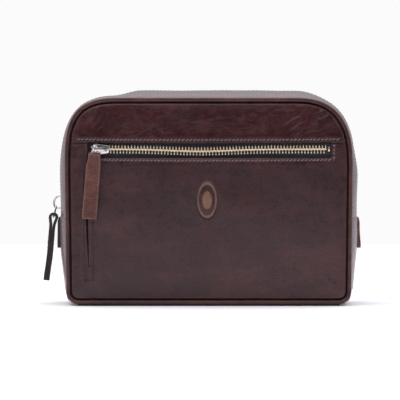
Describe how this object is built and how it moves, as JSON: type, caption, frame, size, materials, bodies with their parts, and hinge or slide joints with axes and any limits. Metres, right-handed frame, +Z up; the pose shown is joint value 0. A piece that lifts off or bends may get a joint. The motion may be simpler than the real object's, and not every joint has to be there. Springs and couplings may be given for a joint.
{
  "type": "shaving kit bag",
  "caption": "Boxy leather wash bag with piped edges, a zip over the top, a zipped flat front pocket and leather zip pulls.",
  "frame": {"origin": "centre of the flat base, on the surface the bag stands on", "axes": "+X to the bag's right along its width, -Y out of the front pocket panel, +Z up"},
  "size_m": [0.28, 0.1139, 0.1881],
  "materials": {
    "body_leather": "polished dark brown full-grain, soft sheen",
    "tab_leather": "redder brown leather with open grain, raw edges",
    "zip_tape": "black woven tape",
    "zip_metal": "pale champagne gold, polished",
    "slider_metal": "bright nickel",
    "lining": "plain woven cotton lining",
    "stiffener": "matt base board"
  },
  "bodies": {
    "bag": {"back_panel": "body_leather", "back_piping": "body_leather", "base_gusset": "body_leather", "side_gusset_left": "body_leather", "side_gusset_right": "body_leather", "gusset_strip_back": "body_leather", "gusset_strip_foot_left": "body_leather", "gusset_strip_foot_right": "body_leather", "front_panel_lower": "body_leather", "front_piping_lower": "body_leather", "main_zip_tape_back": "zip_tape", "main_zip_tape_foot_left": "zip_tape", "main_zip_tape_foot_right": "zip_tape", "main_zip_teeth_back": "zip_metal", "main_zip_teeth_foot_left": "zip_metal", "main_zip_teeth_foot_right": "zip_metal", "main_zip_top_stop_front": "zip_metal", "main_zip_top_stop_back": "zip_metal", "main_zip_bottom_stop": "zip_metal", "lining_body": "lining", "base_board": "stiffener", "pocket_lining_lower": "lining"},
    "front_flap": {"front_yoke": "body_leather", "front_pocket_panel": "body_leather", "front_side_strip": "body_leather", "front_piping_upper": "body_leather", "gusset_strip_front": "body_leather", "main_zip_tape_front": "zip_tape", "main_zip_teeth_front": "zip_metal", "lining_front": "lining", "pocket_lining_upper": "lining", "pocket_zip_tape_upper": "zip_tape", "pocket_zip_tape_lower": "zip_tape", "pocket_zip_teeth_upper": "zip_metal", "pocket_zip_teeth_lower": "zip_metal", "pocket_zip_top_stop_upper": "zip_metal", "pocket_zip_top_stop_lower": "zip_metal", "pocket_zip_bottom_stop": "zip_metal"},
    "pocket_slider": {"pocket_slider_top": "slider_metal", "pocket_slider_back": "slider_metal"},
    "pocket_ring": {"pocket_ring": "slider_metal"},
    "pocket_pull": {"pocket_pull_tab": "tab_leather"},
    "main_slider": {"main_slider_top": "slider_metal", "main_slider_back": "slider_metal"},
    "main_ring": {"main_ring": "slider_metal"},
    "main_pull": {"main_pull_tab": "tab_leather"},
    "end_tab_left": {"zip_end_tab_left": "tab_leather"},
    "end_tab_right": {"zip_end_tab_right": "tab_leather"}
  },
  "joints": [
    {"name": "mouth_open", "type": "hinge", "parent": "bag", "child": "front_flap", "pos_m": [0, -0.0545, 0.072], "axis": [1, 0, 0], "range_deg": [0, 25]},
    {"name": "pocket_zip_travel", "type": "slide", "parent": "front_flap", "child": "pocket_slider", "axis": [1, 0, 0], "range_m": [0, 0.19]},
    {"name": "pocket_ring_swing", "type": "hinge", "parent": "pocket_slider", "child": "pocket_ring", "pos_m": [-0.1, -0.0579, 0.138], "axis": [0, 1, 0], "range_deg": [-15, 55]},
    {"name": "pocket_pull_lift", "type": "hinge", "parent": "pocket_ring", "child": "pocket_pull", "pos_m": [-0.10057, -0.0579, 0.13102], "axis": [-0.9966, 0, 0.0819], "range_deg": [0, 80]},
    {"name": "main_zip_travel", "type": "slide", "parent": "bag", "child": "main_slider", "axis": [0, 0, 1], "range_m": [0, 0.04]},
    {"name": "main_ring_swing", "type": "hinge", "parent": "main_slider", "child": "main_ring", "pos_m": [-0.1356, 0, 0.0865], "axis": [0, 1, 0], "range_deg": [0, 95]},
    {"name": "main_pull_swing", "type": "hinge", "parent": "main_ring", "child": "main_pull", "pos_m": [-0.13797, 0, 0.07699], "axis": [0, 1, 0], "range_deg": [-2, 80]},
    {"name": "end_tab_left_lift", "type": "hinge", "parent": "bag", "child": "end_tab_left", "pos_m": [-0.1322, 0, 0.0759], "axis": [0, 1, 0], "range_deg": [0, 6]},
    {"name": "end_tab_right_lift", "type": "hinge", "parent": "bag", "child": "end_tab_right", "pos_m": [0.1322, 0, 0.0759], "axis": [0, -1, 0], "range_deg": [0, 45]}
  ]
}
